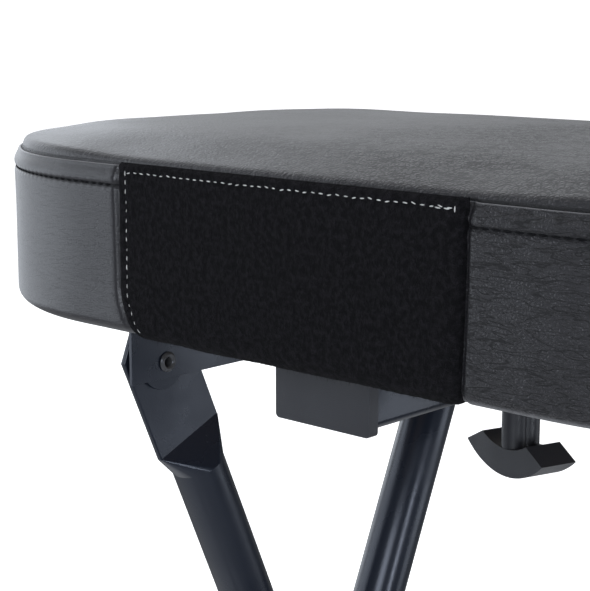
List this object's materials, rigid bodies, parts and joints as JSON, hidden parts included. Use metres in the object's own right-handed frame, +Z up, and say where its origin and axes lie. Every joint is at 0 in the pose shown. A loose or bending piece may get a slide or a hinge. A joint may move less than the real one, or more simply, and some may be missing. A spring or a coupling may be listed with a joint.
{
  "type": "folding guitar stool with guitar cradle",
  "caption": "Padded stool on a folding crossed-leg tube frame, with a felt-faced seat front and a fold-out cradle that holds a guitar.",
  "frame": {"origin": "on the floor, under the middle of the stool's box, from the cradle's tips to the seat's back", "axes": "+X to the right seen from the front, +Y from the seat's front to its back, +Z up"},
  "size_m": [0.516, 0.4484, 0.6185],
  "materials": {
    "vinyl": "grained black vinyl, satin",
    "felt": "black brushed felt",
    "plywood": "raw plywood",
    "steel": "black powder coat, satin",
    "plastic": "moulded black plastic",
    "rubber": "matt black rubber",
    "foam": "closed-cell black foam",
    "zinc": "bright zinc plate",
    "nylon": "natural nylon"
  },
  "bodies": {
    "outer_frame": {"outer_leg_left": "steel", "outer_leg_right": "steel", "rear_ground_tube": "steel", "rear_foot_left": "rubber", "rear_foot_right": "rubber", "rear_brace": "steel", "pivot_rivet_left": "zinc", "pivot_rivet_right": "zinc", "pivot_washer_left": "nylon", "pivot_washer_right": "nylon", "crossing_bolt_left": "zinc", "crossing_bolt_right": "zinc", "crossing_washer_left": "nylon", "crossing_washer_right": "nylon", "crossing_nut_left": "zinc", "crossing_nut_right": "zinc"},
    "inner_frame": {"inner_leg_left": "steel", "inner_leg_right": "steel", "leg_plug_left": "plastic", "leg_plug_right": "plastic", "latch_pin_left": "zinc", "latch_pin_right": "zinc", "front_ground_tube": "steel", "front_foot_left": "rubber", "front_foot_right": "rubber", "footrest_bar": "steel", "footrest_grip": "rubber", "cradle_bar": "steel"},
    "seat": {"seat_cushion": "vinyl", "felt_panel": "felt", "seat_board": "plywood", "seat_rail_left": "steel", "seat_rail_right": "steel", "rail_screw_left_1": "zinc", "rail_screw_left_2": "zinc", "rail_screw_left_3": "zinc", "rail_screw_right_1": "zinc", "rail_screw_right_2": "zinc", "rail_screw_right_3": "zinc", "seat_beam": "steel", "beam_screw_1": "zinc", "beam_screw_2": "zinc", "beam_end_cap": "plastic", "beam_collar": "plastic", "clamp_boss": "steel"},
    "cradle": {"cradle_sleeve": "steel", "cradle_arm_left": "steel", "cradle_arm_right": "steel", "arm_foam_left": "foam", "arm_foam_right": "foam", "arm_tip_left": "plastic", "arm_tip_right": "plastic"},
    "knob": {"wing_knob": "plastic", "knob_stud": "zinc"}
  },
  "joints": [
    {"name": "leg_fold", "type": "hinge", "parent": "outer_frame", "child": "inner_frame", "pos_m": [0, 0.08755, 0.26862], "axis": [1, 0, 0], "range_deg": [0, 38]},
    {"name": "seat_flip", "type": "hinge", "parent": "outer_frame", "child": "seat", "pos_m": [0, -0.01445, 0.5032], "axis": [1, 0, 0], "range_deg": [0, 95]},
    {"name": "cradle_fold", "type": "hinge", "parent": "inner_frame", "child": "cradle", "pos_m": [0, 0.02728, 0.13], "axis": [-1, 0, 0], "range_deg": [0, 88]},
    {"name": "knob_turn", "type": "hinge", "parent": "seat", "child": "knob", "pos_m": [0, 0.09405, 0.4941], "axis": [0, 0, 1], "continuous": true}
  ],
  "couplings": [
    {"joint": "seat_flip", "follows": "leg_fold", "ratio": 2.5}
  ]
}
